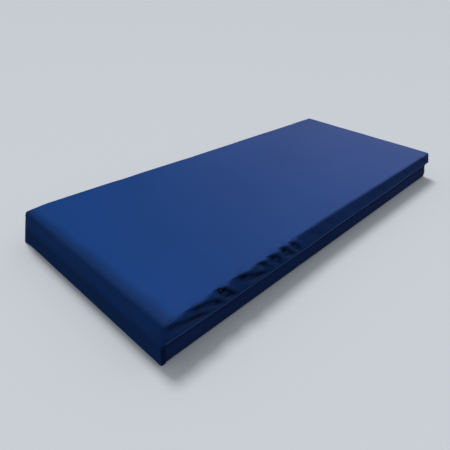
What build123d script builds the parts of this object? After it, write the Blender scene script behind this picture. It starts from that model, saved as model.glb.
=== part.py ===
"""Pressure relief mattress: a foam core in a coated two-part cover, zipped round three sides.

The origin is the middle of the underside. +X runs from the head end to the foot end, +Y to the
back long side, +Z up. An inset is a distance in from the outer face of the mattress.
"""

import os

from build123d import *

# Whole mattress
LENGTH = 2000.0
WIDTH = 860.0
HEIGHT = 150.0
HEAD_X = -LENGTH / 2
FOOT_X = LENGTH / 2
CORNER_R = 16.0
TOP_R = 14.0
LEAST_R = 2.0

# Cover
FABRIC = 1.2
RETURN_X = HEAD_X + CORNER_R
LEDGE_Z = 120.0
ZIP_INSET = 9.0
SKIRT_LOW = 104.0
BORDER_TOP = 88.0
FOLD_X = 100.0
FOLD_GAP = 0.5
FOLD_NEAR = FOLD_X - FOLD_GAP / 2
FOLD_FAR = FOLD_X + FOLD_GAP / 2

# Storm flap
FLAP_LOW = 76.0
FLAP_CLEAR = 0.4
FLAP_TOP = LEDGE_Z - FABRIC - FLAP_CLEAR
FLAP_GAP = 0.5
FOLD_STRIP = 60.0
BACK_FLAP_START = HEAD_X + 110.0
CORNER_X = FOOT_X - CORNER_R
CORNER_Y = WIDTH / 2 - CORNER_R

# Zip
ZIP_Z = 96.0
ZIP_START = HEAD_X + 18.0
TAPE = 0.6
TAPE_INSET = 10.4
TAPE_HALF_GAP = 0.6
TAPE_REACH = 13.0
COIL_INSET = 8.2
COIL_DEPTH = TAPE_INSET - COIL_INSET
COIL_TALL = 1.6
STOP_LONG = 2.5
STOP_FACE = 0.7
STOP_CLEAR = 0.1
STOP_INSET = COIL_INSET - STOP_CLEAR - STOP_FACE
STOP_CHEEK = 0.7
TOP_STOP_X = HEAD_X + 61.75
BOTTOM_STOP_X = HEAD_X + 30.0

# Slider and its pull tab
SLIDER_X = HEAD_X + 70.0
SLIDER_LONG = 12.0
SLIDER_TALL = 11.0
SLIDER_R = 2.5
PLATE = 1.4
FRONT_PLATE_INSET = 6.4
BACK_PLATE_INSET = 11.4
BACK_PLATE = 1.2
FLANGE = 1.2
FLANGE_DEPTH = 2.2
WEB = 0.6
WEB_BEHIND = 5.5
WEB_AHEAD = 1.0
BAIL_LONG = 7.2
BAIL_WIDE = 2.0
BAIL_BAR = 1.0
BAIL_INSET = 3.4
PIN_R = 0.7
PIN_INSET = 5.4
TAB_LONG = 26.0
TAB_TALL = 8.0
TAB_THICK = 1.2
TAB_WINDOW = 6.0
TAB_WINDOW_TALL = 3.2
TAB_HOLE_R = 1.5
TAB_EASE = 0.5

# Foam core
FOAM_INSET = 13.2
FOAM_HEAD_INSET = 2.0
FOAM_HEAD_X = HEAD_X + FOAM_HEAD_INSET
FOAM_FOOT_X = FOOT_X - FOAM_INSET
FOAM_SIDE_Y = WIDTH / 2 - FOAM_INSET
FOAM_GAP = 0.3
FOAM_LOW = FABRIC + FOAM_GAP
FOAM_TOP_CLEAR = 0.5
FOAM_TOP = HEIGHT - FABRIC - FOAM_TOP_CLEAR
FOAM_HEAD_R = 12.0
BASE_FOAM_TOP = 50.0
RAIL_WIDE = 70.0
HEEL_X = 560.0
SLOT = 6.0
SLOT_DEEP = 55.0
CELLS_LONG = 20
CELLS_WIDE = 9
HEEL_CHANNELS = 8
HEEL_CHANNEL_WIDE = 10.0
HEEL_CHANNEL_DEEP = 60.0

# Care label on the foot border
LABEL_THICK = 0.4
LABEL_WIDE = 64.0
LABEL_LOW = 20.0
LABEL_HIGH = 52.0


def plan(inset, mode=Mode.ADD):
    """The rounded outline of the mattress from above, drawn in by the inset."""
    radius = max(CORNER_R - inset, LEAST_R)
    RectangleRounded(LENGTH - 2 * inset, WIDTH - 2 * inset, radius, mode=mode)


def keep(start, end, low_y=-WIDTH, high_y=WIDTH):
    """Cuts the part in progress down to a stretch of its length and width."""
    with Locations(((start + end) / 2, (low_y + high_y) / 2, HEIGHT / 2)):
        Box(end - start, high_y - low_y, 2 * HEIGHT, mode=Mode.INTERSECT)


def slab(start, end, low_y, high_y, low, high, mode=Mode.ADD):
    """A plain block of the part in progress, given by its limits."""
    with Locations(((start + end) / 2, (low_y + high_y) / 2, (low + high) / 2)):
        Box(end - start, high_y - low_y, high - low, mode=mode)


def band(inset, thick, low, high, start, end, low_y=-WIDTH, high_y=WIDTH):
    """A strip that stands round the outline, cut to a stretch of it."""
    with BuildPart(mode=Mode.PRIVATE) as strip:
        with BuildSketch(Plane.XY.offset(low)):
            plan(inset)
            plan(inset + thick, mode=Mode.SUBTRACT)
        extrude(amount=high - low)
        keep(start, end, low_y, high_y)
    return strip.part


def dome(inset, low):
    """The space inside the outline from a height up to the softly rounded top edge."""
    with BuildPart(mode=Mode.PRIVATE) as body:
        with BuildSketch(Plane.XY.offset(low)):
            plan(inset)
        extrude(amount=HEIGHT - inset - low)
        fillet(body.edges().group_by(Axis.Z)[-1], TOP_R - inset)
    return body.part


def save(piece, name):
    """Labels a finished sub-part and writes its file."""
    piece.part.label = name
    export_step(piece.part, f"parts/{name}.step")


os.makedirs("parts", exist_ok=True)
SIDES = {"front": (-WIDTH, 0.0), "back": (0.0, WIDTH)}

# ---- Base cover: bottom panel, and a border up to the zip on three sides ----

border = band(ZIP_INSET, FABRIC, 0.0, BORDER_TOP, RETURN_X + FLAP_GAP, FOOT_X)
with BuildPart() as base_cover:
    with BuildSketch():
        plan(ZIP_INSET)
    extrude(amount=FABRIC)
    add(border)
    with BuildSketch():
        plan(0.0)
        with Locations(((RETURN_X + FOOT_X) / 2, 0)):
            Rectangle(FOOT_X - RETURN_X, WIDTH, mode=Mode.SUBTRACT)
    extrude(amount=FABRIC)
save(base_cover, "base_cover")

# ---- Top cover: top panel, upper walls, and a skirt that the zip is sewn behind ----

outer_space = dome(0.0, LEDGE_Z)
inner_space = dome(FABRIC, LEDGE_Z - FABRIC)


def top_cover(start, end):
    """The stretch of the top cover between two places along the length."""
    ledge = band(0.0, ZIP_INSET + FABRIC, LEDGE_Z - FABRIC, LEDGE_Z, max(start, RETURN_X), end)
    skirt = band(ZIP_INSET, FABRIC, SKIRT_LOW, LEDGE_Z - FABRIC, max(start, RETURN_X), end)
    with BuildPart(mode=Mode.PRIVATE) as cover:
        add(outer_space)
        add(inner_space, mode=Mode.SUBTRACT)
        keep(start, end)
        add(ledge)
        add(skirt)
    return cover.part


near_cover = top_cover(HEAD_X, FOLD_NEAR)
head_wall = band(0.0, FABRIC, FABRIC, LEDGE_Z, HEAD_X, RETURN_X)
with BuildPart() as top_cover_near:
    add(near_cover)
    add(head_wall)
    for edge in (-1, 1):
        outer_y = edge * WIDTH / 2
        inner_y = edge * (WIDTH / 2 - ZIP_INSET - FABRIC)
        low_y = min(outer_y, inner_y)
        high_y = max(outer_y, inner_y)
        slab(RETURN_X - FABRIC, RETURN_X, low_y, high_y, FABRIC, LEDGE_Z)
save(top_cover_near, "top_cover_near")

far_cover = top_cover(FOLD_FAR, FOOT_X)
with BuildPart() as top_cover_far:
    add(far_cover)
save(top_cover_far, "top_cover_far")

# ---- Storm flap: hangs from the ledge over the zip, in lengths that can lift ----


def flap(name, start, end, low_y, high_y):
    """One length of the storm flap."""
    cloth = band(0.0, FABRIC, FLAP_LOW, FLAP_TOP, start, end, low_y, high_y)
    with BuildPart() as strip:
        add(cloth)
    save(strip, name)


STRIP_END = FOLD_FAR + FOLD_STRIP
for side, (low_y, high_y) in SIDES.items():
    flap_start = RETURN_X + FLAP_GAP if side == "front" else BACK_FLAP_START
    flap(f"flap_{side}_near", flap_start, FOLD_NEAR, low_y, high_y)
    flap(f"flap_{side}_fold", FOLD_FAR, STRIP_END, low_y, high_y)
    flap(f"flap_{side}_far", STRIP_END + FLAP_GAP, CORNER_X - FLAP_GAP, low_y, high_y)
flap("flap_front_corner", CORNER_X, FOOT_X, -WIDTH, -CORNER_Y)
flap("flap_back_corner", CORNER_X, FOOT_X, CORNER_Y, WIDTH)
flap("flap_end", CORNER_X, FOOT_X, -CORNER_Y + FLAP_GAP, CORNER_Y - FLAP_GAP)

# ---- Zip chain: tapes sewn inside the fabric edges, coils facing out between them ----

LOWER_TAPE = (ZIP_Z - TAPE_REACH, ZIP_Z - TAPE_HALF_GAP)
UPPER_TAPE = (ZIP_Z + TAPE_HALF_GAP, ZIP_Z + TAPE_REACH)
LOWER_COIL = (LOWER_TAPE[1] - COIL_TALL, LOWER_TAPE[1])
UPPER_COIL = (UPPER_TAPE[0], UPPER_TAPE[0] + COIL_TALL)


def chain(kind, place, heights, start, end, low_y=-WIDTH, high_y=WIDTH):
    """A stretch of zip tape, or of the coil on it."""
    inset, thick = (TAPE_INSET, TAPE) if kind == "tape" else (COIL_INSET, COIL_DEPTH)
    ribbon = band(inset, thick, *heights, start, end, low_y, high_y)
    with BuildPart() as strip:
        add(ribbon)
    save(strip, f"zip_{kind}_{place}")


for kind, lower, upper in (
    ("tape", LOWER_TAPE, UPPER_TAPE),
    ("coil", LOWER_COIL, UPPER_COIL),
):
    chain(kind, "lower", lower, ZIP_START, FOOT_X)
    chain(kind, "upper_far", upper, FOLD_FAR, FOOT_X)
    for side, (low_y, high_y) in SIDES.items():
        chain(kind, f"upper_{side}_near", upper, ZIP_START, FOLD_NEAR, low_y, high_y)


def clip(x, inner_z, outer_z, mirrored):
    """A metal clamp bent over a coil, seen from its long side as an L or a U."""
    low, high = min(inner_z, outer_z), max(inner_z, outer_z)
    face = sorted(mirrored * (WIDTH / 2 - inset) for inset in (STOP_INSET, STOP_INSET + STOP_FACE))
    cheek = sorted(mirrored * (WIDTH / 2 - inset) for inset in (STOP_INSET, TAPE_INSET))
    start, end = x - STOP_LONG / 2, x + STOP_LONG / 2
    slab(start, end, *face, low, high)
    if outer_z > inner_z:
        slab(start, end, *cheek, high - STOP_CHEEK, high)
    else:
        slab(start, end, *cheek, low, low + STOP_CHEEK)


STOP_REACH = TAPE_HALF_GAP + COIL_TALL + STOP_CLEAR + STOP_CHEEK
with BuildPart() as zip_top_stops:
    for up in (-1, 1):
        clip(TOP_STOP_X, ZIP_Z + up * TAPE_HALF_GAP, ZIP_Z + up * STOP_REACH, 1)
save(zip_top_stops, "zip_top_stops")

with BuildPart() as zip_bottom_stop:
    for up in (-1, 1):
        clip(BOTTOM_STOP_X, ZIP_Z, ZIP_Z + up * STOP_REACH, -1)
save(zip_bottom_stop, "zip_bottom_stop")

# ---- Zip slider and pull tab, parked at the head end of the back long side ----


def back_y(inset):
    """Where an inset lies on the back long side."""
    return WIDTH / 2 - inset


FRONT_PLATE_Y = back_y(FRONT_PLATE_INSET + PLATE)
BACK_PLATE_Y = back_y(BACK_PLATE_INSET)
START_X = SLIDER_X - SLIDER_LONG / 2
END_X = SLIDER_X + SLIDER_LONG / 2
LOW_Z = ZIP_Z - SLIDER_TALL / 2
HIGH_Z = ZIP_Z + SLIDER_TALL / 2
BAIL_Y = back_y(BAIL_INSET)

with BuildPart() as zip_slider:
    slab(START_X, END_X, FRONT_PLATE_Y, back_y(FRONT_PLATE_INSET), LOW_Z, HIGH_Z)
    slab(START_X, END_X, BACK_PLATE_Y - BACK_PLATE, BACK_PLATE_Y, LOW_Z, HIGH_Z)
    fillet(zip_slider.edges().filter_by(Axis.Y), SLIDER_R)
    for low in (LOW_Z, HIGH_Z - FLANGE):
        flange_y = FRONT_PLATE_Y - FLANGE_DEPTH
        slab(START_X + SLIDER_R, END_X - SLIDER_R, flange_y, FRONT_PLATE_Y, low, low + FLANGE)
    web_x = (SLIDER_X - WEB_BEHIND, SLIDER_X + WEB_AHEAD)
    slab(*web_x, BACK_PLATE_Y, FRONT_PLATE_Y, ZIP_Z - WEB / 2, ZIP_Z + WEB / 2)
    bail_low, bail_high = ZIP_Z - BAIL_WIDE / 2, ZIP_Z + BAIL_WIDE / 2
    bail_start, bail_end = SLIDER_X - BAIL_LONG / 2, SLIDER_X + BAIL_LONG / 2
    slab(bail_start, bail_end, BAIL_Y - BAIL_BAR, BAIL_Y, bail_low, bail_high)
    for leg in (bail_start, bail_end - BAIL_BAR):
        slab(leg, leg + BAIL_BAR, back_y(FRONT_PLATE_INSET), BAIL_Y, bail_low, bail_high)
save(zip_slider, "zip_slider")

TAB_FACE = Plane(
    origin=(SLIDER_X, back_y(PIN_INSET) - TAB_THICK / 2, ZIP_Z), x_dir=(1, 0, 0), z_dir=(0, 1, 0)
)
with BuildPart() as zip_pull_tab:
    with BuildSketch(TAB_FACE):
        with Locations((-TAB_LONG / 2, 0)):
            Rectangle(TAB_LONG, TAB_TALL)
    extrude(amount=TAB_THICK)
    fillet(zip_pull_tab.edges().filter_by(Axis.Y).group_by(Axis.X)[0], TAB_TALL / 2 - TAB_EASE)
    with BuildSketch(TAB_FACE):
        with Locations((-TAB_WINDOW / 2 + TAB_EASE, 0)):
            Rectangle(TAB_WINDOW + 2 * TAB_EASE, TAB_WINDOW_TALL)
        with Locations((-TAB_LONG + TAB_TALL / 2, 0)):
            Circle(TAB_HOLE_R)
    extrude(amount=TAB_THICK, mode=Mode.SUBTRACT)
    with Locations((SLIDER_X, back_y(PIN_INSET), ZIP_Z)):
        Cylinder(PIN_R, TAB_TALL)
save(zip_pull_tab, "zip_pull_tab")

# ---- Foam core: base slab, two firmer side rails, castellated top and a softer heel zone ----


def ease_head(block):
    """Rounds the upper edge at the head end, where the cover turns down over the foam."""
    fillet(block.edges().filter_by(Axis.Y).group_by(Axis.Z)[-1].sort_by(Axis.X)[0], FOAM_HEAD_R)


TOPPER_LOW = BASE_FOAM_TOP + FOAM_GAP
RAIL_Y = FOAM_SIDE_Y - RAIL_WIDE
with BuildPart() as foam_base:
    slab(FOAM_HEAD_X, FOAM_FOOT_X, -FOAM_SIDE_Y, FOAM_SIDE_Y, FOAM_LOW, BASE_FOAM_TOP)
save(foam_base, "foam_base")

for side, low_y, high_y in (("front", -FOAM_SIDE_Y, -RAIL_Y), ("back", RAIL_Y, FOAM_SIDE_Y)):
    with BuildPart() as foam_rail:
        slab(FOAM_HEAD_X, FOAM_FOOT_X, low_y, high_y, TOPPER_LOW, FOAM_TOP)
        ease_head(foam_rail)
    save(foam_rail, f"foam_rail_{side}")

INNER_WIDE = 2 * (RAIL_Y - FOAM_GAP)
TORSO_LONG = HEEL_X - FOAM_HEAD_X
TORSO_X = (FOAM_HEAD_X + HEEL_X) / 2
with BuildPart() as foam_torso:
    slab(FOAM_HEAD_X, HEEL_X, -INNER_WIDE / 2, INNER_WIDE / 2, TOPPER_LOW, FOAM_TOP)
    ease_head(foam_torso)
    with BuildSketch(Plane(origin=(TORSO_X, 0, FOAM_TOP))):
        with GridLocations(TORSO_LONG / CELLS_LONG, 0, CELLS_LONG - 1, 1):
            Rectangle(SLOT, INNER_WIDE)
        with GridLocations(0, INNER_WIDE / CELLS_WIDE, 1, CELLS_WIDE - 1):
            Rectangle(TORSO_LONG, SLOT)
    extrude(amount=-SLOT_DEEP, mode=Mode.SUBTRACT)
save(foam_torso, "foam_torso")

HEEL_START = HEEL_X + FOAM_GAP
HEEL_LONG = FOAM_FOOT_X - HEEL_START
with BuildPart() as foam_heel:
    slab(HEEL_START, FOAM_FOOT_X, -INNER_WIDE / 2, INNER_WIDE / 2, TOPPER_LOW, FOAM_TOP)
    with BuildSketch(Plane(origin=(HEEL_START + HEEL_LONG / 2, 0, FOAM_TOP))):
        with GridLocations(HEEL_LONG / (HEEL_CHANNELS + 1), 0, HEEL_CHANNELS, 1):
            Rectangle(HEEL_CHANNEL_WIDE, INNER_WIDE)
    extrude(amount=-HEEL_CHANNEL_DEEP, mode=Mode.SUBTRACT)
save(foam_heel, "foam_heel")

# ---- Care label: a plain woven tag on the foot border ----

LABEL_X = FOOT_X - ZIP_INSET
with BuildPart() as care_label:
    slab(LABEL_X, LABEL_X + LABEL_THICK, -LABEL_WIDE / 2, LABEL_WIDE / 2, LABEL_LOW, LABEL_HIGH)
save(care_label, "care_label")
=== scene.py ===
"""A pressure relief mattress: zipped, coated cover over a castellated foam core, in metres."""

import math

import bpy
import numpy as np
from mathutils import Matrix, Vector


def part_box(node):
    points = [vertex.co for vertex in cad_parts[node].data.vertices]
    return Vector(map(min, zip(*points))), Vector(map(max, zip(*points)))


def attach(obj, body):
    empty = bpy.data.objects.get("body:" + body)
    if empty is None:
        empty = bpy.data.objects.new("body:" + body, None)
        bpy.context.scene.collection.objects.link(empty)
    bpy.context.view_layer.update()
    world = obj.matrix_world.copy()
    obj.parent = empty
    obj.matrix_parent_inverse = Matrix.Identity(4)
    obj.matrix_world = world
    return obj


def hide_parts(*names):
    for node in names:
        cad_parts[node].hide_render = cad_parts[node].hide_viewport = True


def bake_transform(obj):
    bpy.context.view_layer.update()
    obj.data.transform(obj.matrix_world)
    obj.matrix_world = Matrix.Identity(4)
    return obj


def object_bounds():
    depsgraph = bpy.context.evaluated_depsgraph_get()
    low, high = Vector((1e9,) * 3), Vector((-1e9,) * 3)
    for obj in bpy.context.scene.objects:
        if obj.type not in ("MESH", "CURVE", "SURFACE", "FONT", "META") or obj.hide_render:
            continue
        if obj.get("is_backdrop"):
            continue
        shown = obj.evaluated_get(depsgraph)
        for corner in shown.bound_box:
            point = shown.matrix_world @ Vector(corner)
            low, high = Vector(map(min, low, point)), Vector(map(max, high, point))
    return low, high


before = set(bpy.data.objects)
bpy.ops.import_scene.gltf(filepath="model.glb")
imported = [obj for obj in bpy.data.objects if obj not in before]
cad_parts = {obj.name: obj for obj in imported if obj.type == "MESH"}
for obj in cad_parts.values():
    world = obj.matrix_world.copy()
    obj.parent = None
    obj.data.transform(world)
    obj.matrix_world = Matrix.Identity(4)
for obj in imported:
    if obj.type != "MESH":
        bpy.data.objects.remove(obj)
cad_low, cad_high = (Vector(corner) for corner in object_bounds())

# ---------------------------------------------------------------- sizes from the frame

HALF_X = cad_high.x
HALF_Y = cad_high.y
TOP = cad_high.z
FOLD_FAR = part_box("top_cover_far")[0].x
STRIP_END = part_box("flap_front_fold")[1].x
FAR_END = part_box("flap_front_far")[1].x
FRONT_FLAP_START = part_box("flap_front_near")[0].x
BACK_FLAP_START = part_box("flap_back_near")[0].x
END_FLAP_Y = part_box("flap_end")[1].y
FLAP_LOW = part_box("flap_end")[0].z
BORDER_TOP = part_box("base_cover")[1].z
ZIP_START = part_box("zip_coil_lower")[0].x
ZIP_Z = (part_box("zip_coil_lower")[1].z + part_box("zip_coil_upper_far")[0].z) / 2
ZIP_INSET = HALF_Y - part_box("zip_coil_lower")[1].y

HINGE_Z = TOP - 0.030  # the seam where the flap joins the upper wall
SPLIT = HINGE_Z + 0.004  # height where the flap starts to hang free of the wall
CORNER_R = 0.008  # upright corners
OUTLINE_R = 0.016  # corners of the border and the zip, in plan
EDGE_R = 0.010  # height of the rounding along the top edges
CLOTH = 0.0011  # thickness of the top fabric
BASE_CLOTH = 0.0010
HEM_R = 0.0014  # radius of the rolled hem

# How far each wall leans in by the top
LEAN_FROM = 0.080  # height where they start to lean in
HEAD_LEAN = 0.013
FOOT_LEAN = 0.020
BACK_LEAN = (0.018, 0.028)  # near the head, and farther along
FRONT_PLACES = (0.0, 0.12, 0.22, 0.45, 0.6, 0.8, 1.1, 1.4, 2.0)  # distances from the head
FRONT_LEANS = (0.002, 0.004, 0.009, 0.008, 0.013, 0.017, 0.016, 0.013, 0.010)  # the lean at each
CORNER_IN = (0.013, 0.027)  # how far the back head corner stands in at the top, along x and y
DROOP = 0.0015  # how far the top falls away at the head edge
DROOP_LONG = 0.060

# Painted shade: how much of its colour the top fabric loses, at most
CREASE_SHADE = 0.88  # painted shade down in a fold
HEAD_EDGE_SHADE = 0.50  # painted shade along the head end's top edge
WRAP_SHADE = 0.6  # painted shade where the head wall wraps round a corner, below the flap's edge
FRONT_SHADE = 0.03  # painted shade on the front wall near the head


# ---------------------------------------------------------------- camera

CAMERA_AIM = Vector((-0.3924, -0.0997, 0.075))
CAMERA_AZIMUTH = -138.46
CAMERA_ELEVATION = 31.58
CAMERA_ROLL = 3.61
CAMERA_DISTANCE = 1.6966
CAMERA_LENS = 32.55


def make_camera():
    azimuth, elevation = math.radians(CAMERA_AZIMUTH), math.radians(CAMERA_ELEVATION)
    level = math.cos(elevation)
    back = Vector((level * math.cos(azimuth), level * math.sin(azimuth), math.sin(elevation)))
    data = bpy.data.cameras.new("camera")
    data.sensor_width = 36.0
    data.lens = CAMERA_LENS
    camera = bpy.data.objects.new("camera", data)
    bpy.context.scene.collection.objects.link(camera)
    right = (-back).cross(Vector((0, 0, 1))).normalized()
    up = right.cross(-back)
    turn = math.radians(CAMERA_ROLL)
    across = right * math.cos(turn) + up * math.sin(turn)
    above = up * math.cos(turn) - right * math.sin(turn)
    place = Matrix((across, above, back)).transposed().to_4x4()
    place.translation = CAMERA_AIM + back * CAMERA_DISTANCE
    camera.matrix_world = place
    bpy.context.scene.camera = camera


make_camera()


# ---------------------------------------------------------------- small tools


def smooth(a, b, x):
    """0 below a, 1 above b, and an S-curve between."""
    t = np.clip((np.asarray(x, float) - a) / (b - a), 0.0, 1.0)
    return t * t * (3 - 2 * t)


def value_noise(u, v, seed):
    """Smooth noise from -1 to 1 over a plane, the same each run."""
    table = np.random.default_rng(seed).uniform(-1, 1, (61, 67))
    u, v = np.asarray(u, float), np.asarray(v, float)
    i, j = np.floor(u).astype(int), np.floor(v).astype(int)
    a, b = u - i, v - j
    a, b = a * a * (3 - 2 * a), b * b * (3 - 2 * b)
    rows, cols = table.shape

    def at(di, dj):
        return table[(i + di) % rows, (j + dj) % cols]

    low = at(0, 0) * (1 - a) + at(1, 0) * a
    high = at(0, 1) * (1 - a) + at(1, 1) * a
    return low * (1 - b) + high * b


def hump(x, middle, half_width):
    """1 at the middle, falling to nothing on both sides."""
    return np.exp(-(((x - middle) / half_width) ** 2))


def stations(low, high, gap):
    """Places from low to high, spaced by the gap function."""
    fine = np.linspace(low, high, 4001)
    density = 1.0 / gap(fine)
    total = np.concatenate([[0], np.cumsum((density[1:] + density[:-1]) / 2 * np.diff(fine))])
    count = max(2, int(round(total[-1])) + 1)
    return np.interp(np.linspace(0, total[-1], count), total, fine)


def with_stops(places, stops):
    """The places, with the nearest one moved onto each stop."""
    places = np.array(places)
    for stop in stops:
        places[np.abs(places - stop).argmin()] = stop
    return places


def new_object(name, verts, faces, material_slots=(), face_materials=None, smooth_faces=True):
    mesh = bpy.data.meshes.new(name)
    mesh.from_pydata([tuple(v) for v in verts], [], [tuple(int(i) for i in f) for f in faces])
    for material in material_slots:
        mesh.materials.append(material)
    if face_materials is not None:
        mesh.polygons.foreach_set("material_index", np.asarray(face_materials, np.int32))
    mesh.polygons.foreach_set("use_smooth", np.full(len(mesh.polygons), smooth_faces))
    mesh.validate()
    mesh.update()
    thing = bpy.data.objects.new(name, mesh)
    bpy.context.scene.collection.objects.link(thing)
    return thing


def grid_faces(rows, cols):
    """Quads of a grid whose points are numbered along each row in turn."""
    cell = np.arange((rows - 1) * (cols - 1))
    corner = cell // (cols - 1) * cols + cell % (cols - 1)
    return np.stack([corner, corner + cols, corner + cols + 1, corner + 1], axis=1)


def grid_ring(xs, ys):
    """A grid's outer points, in order round it from the lowest x and y: their numbers and places."""
    rows, cols = len(xs), len(ys)
    order = [(i, 0) for i in range(rows)] + [(rows - 1, j) for j in range(1, cols)]
    order += [(i, cols - 1) for i in range(rows - 2, -1, -1)] + [(0, j) for j in range(cols - 2, 0, -1)]
    i, j = np.array(order).T
    return i * cols + j, xs[i], ys[j]


def strip_faces(rows, segments=None):
    """Quads between successive rings of points, for the chosen segments or for all."""
    a = np.arange(len(rows[0])) if segments is None else segments
    b = (a + 1) % len(rows[0])
    pairs = zip(rows[:-1], rows[1:])
    return np.concatenate([np.stack([up[a], low[a], low[b], up[b]], axis=1) for up, low in pairs])


def grid_points(across, up):
    """Every pair of places from two lists, the second running fastest."""
    return (places.ravel() for places in np.meshgrid(across, up, indexing="ij"))


def vertex_normals(verts, faces):
    """Area-weighted normals of a quad mesh."""
    corners = verts[faces]
    across = np.cross(corners[:, 2] - corners[:, 0], corners[:, 3] - corners[:, 1])
    normals = np.zeros_like(verts)
    for k in range(4):
        np.add.at(normals, faces[:, k], across)
    return normals / np.maximum(np.linalg.norm(normals, axis=1), 1e-12)[:, None]


def boundary_edges(faces):
    """Directed edges that only one face uses."""
    edges = np.concatenate([faces[:, [k, (k + 1) % 4]] for k in range(4)])
    key = np.sort(edges, axis=1)
    _, index, count = np.unique(key, axis=0, return_index=True, return_counts=True)
    return edges[index[count == 1]]


def cloth_object(name, verts, normals, faces, thickness, outside, inside, edge=None, hem=0, painted_shade=None):
    """A closed sheet: the outer face as given, an inner face, and a rim. Normals stay those of the
    whole surface that the sheet is cut from, so that neighbours meet with no shading seam. The last hem
    faces take the edge's material. painted_shade is painted shade: how much of its colour each point
    loses."""
    used, faces = np.unique(faces, return_inverse=True)
    faces = faces.reshape(-1, 4)
    verts, normals = verts[used], normals[used]
    count = len(verts)
    inner = verts - normals * thickness
    rim = boundary_edges(faces)
    rim_faces = np.stack([rim[:, 1], rim[:, 0], rim[:, 0] + count, rim[:, 1] + count], axis=1)
    all_faces = np.concatenate([faces, faces[:, ::-1] + count, rim_faces])
    materials = np.repeat([0, 1, 2], [len(faces), len(faces), len(rim_faces)])
    if hem:
        materials[len(faces) - hem : len(faces)] = 2
    fabrics = (outside, inside, edge or outside)
    thing = new_object(name, np.concatenate([verts, inner]), all_faces, fabrics, materials)
    loops = np.concatenate([normals[faces], -normals[faces[:, ::-1]], np.zeros((len(rim), 4, 3))])
    thing.data.normals_split_custom_set([tuple(n) for n in loops.reshape(-1, 3)])
    if painted_shade is not None:
        depth = thing.data.attributes.new("painted_shade", "FLOAT", "POINT")
        depth.data.foreach_set("value", np.tile(painted_shade[used], 2).astype(np.float32))
    return thing


# ---------------------------------------------------------------- materials


def feed(tree, node, inputs):
    """Fills a node's inputs: numbers and colours on their own sockets, other nodes' outputs by links."""
    for name, value in inputs.items():
        if isinstance(value, bpy.types.NodeSocket):
            tree.links.new(value, node.inputs[name])
        else:
            node.inputs[name].default_value = value


def add_node(tree, kind, inputs=None, **settings):
    node = tree.nodes.new("ShaderNode" + kind)
    for name, value in settings.items():
        setattr(node, name, value)
    feed(tree, node, inputs or {})
    return node


def material(name, build):
    """A material of one Principled shader, whose inputs build returns."""
    made = bpy.data.materials.new(name)
    made.use_nodes = True
    tree = made.node_tree
    tree.nodes.clear()
    shader = add_node(tree, "BsdfPrincipled", build(tree))
    add_node(tree, "OutputMaterial", {"Surface": shader.outputs["BSDF"]})
    return made


def place_node(tree):
    return add_node(tree, "TexCoord").outputs["Object"]


def noise_node(tree, place, scale, detail=2.0, roughness=0.5):
    inputs = {"Vector": place, "Scale": scale, "Detail": detail, "Roughness": roughness}
    return add_node(tree, "TexNoise", inputs).outputs["Fac"]


def ramp_node(tree, value, low, high, low_at=0.3, high_at=0.7):
    node = add_node(tree, "ValToRGB", {"Fac": value})
    for stop, place, colour in zip(node.color_ramp.elements, (low_at, high_at), (low, high)):
        stop.position = place
        stop.color = (*colour, 1)
    return node.outputs["Color"]


def range_node(tree, value, low, high):
    inputs = {"Value": value, "To Min": low, "To Max": high}
    return add_node(tree, "MapRange", inputs).outputs["Result"]


def wave_node(tree, place, axis, scale):
    inputs = {"Vector": place, "Scale": scale}
    return add_node(tree, "TexWave", inputs, bands_direction=axis).outputs["Fac"]


def math_node(tree, operation, a, b):
    return add_node(tree, "Math", {0: a, 1: b}, operation=operation).outputs["Value"]


def bump_node(tree, height, strength, distance, below=None):
    inputs = {"Height": height, "Strength": strength, "Distance": distance}
    if below is not None:
        inputs["Normal"] = below
    return add_node(tree, "Bump", inputs).outputs["Normal"]


def coated_fabric(dark, light, roughness, weave=700.0):
    """Knitted polyester under a thin polyurethane skin: a fine grain, faint mottling, a soft sheen.
    Painted shade darkens its colour down in its creases and at a few other places."""

    def build(tree):
        place = place_node(tree)
        colour = ramp_node(tree, noise_node(tree, place, 2.2, 3.0), dark, light)
        # painted shade carried by the points darkens the colour
        painted_shade = add_node(tree, "Attribute", attribute_name="painted_shade").outputs["Fac"]
        clear = math_node(tree, "SUBTRACT", 1.0, painted_shade)
        shade = add_node(tree, "VectorMath", {0: colour, "Scale": clear}, operation="SCALE")
        grain = noise_node(tree, place, 380.0, 3.0, 0.6)
        warp, weft = (wave_node(tree, place, axis, weave) for axis in "XY")
        fine = bump_node(tree, math_node(tree, "MULTIPLY", warp, weft), 0.10, 0.0003)
        grainy = bump_node(tree, grain, 0.12, 0.0004, fine)
        soft = noise_node(tree, place, 24.0, 3.0)
        return {
            "Base Color": shade.outputs["Vector"],
            "Specular IOR Level": 0.32,
            "Roughness": range_node(tree, grain, roughness - 0.05, roughness + 0.07),
            "Normal": bump_node(tree, soft, 0.10, 0.004, grainy),
            "Sheen Weight": 0.04,
            "Sheen Roughness": 0.5,
            "Sheen Tint": (0.45, 0.55, 1.0, 1),
        }

    return build


def plain_knit(dark, light, roughness=0.85):
    """Uncoated cloth: faint mottling and fine ribs."""

    def build(tree):
        place = place_node(tree)
        rows, loops = (wave_node(tree, place, axis, 420.0) for axis in ("X", "DIAGONAL"))
        return {
            "Base Color": ramp_node(tree, noise_node(tree, place, 40.0, 4.0), dark, light),
            "Roughness": roughness,
            "Normal": bump_node(tree, math_node(tree, "ADD", rows, loops), 0.35, 0.0004),
            "Sheen Weight": 0.1,
        }

    return build


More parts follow.
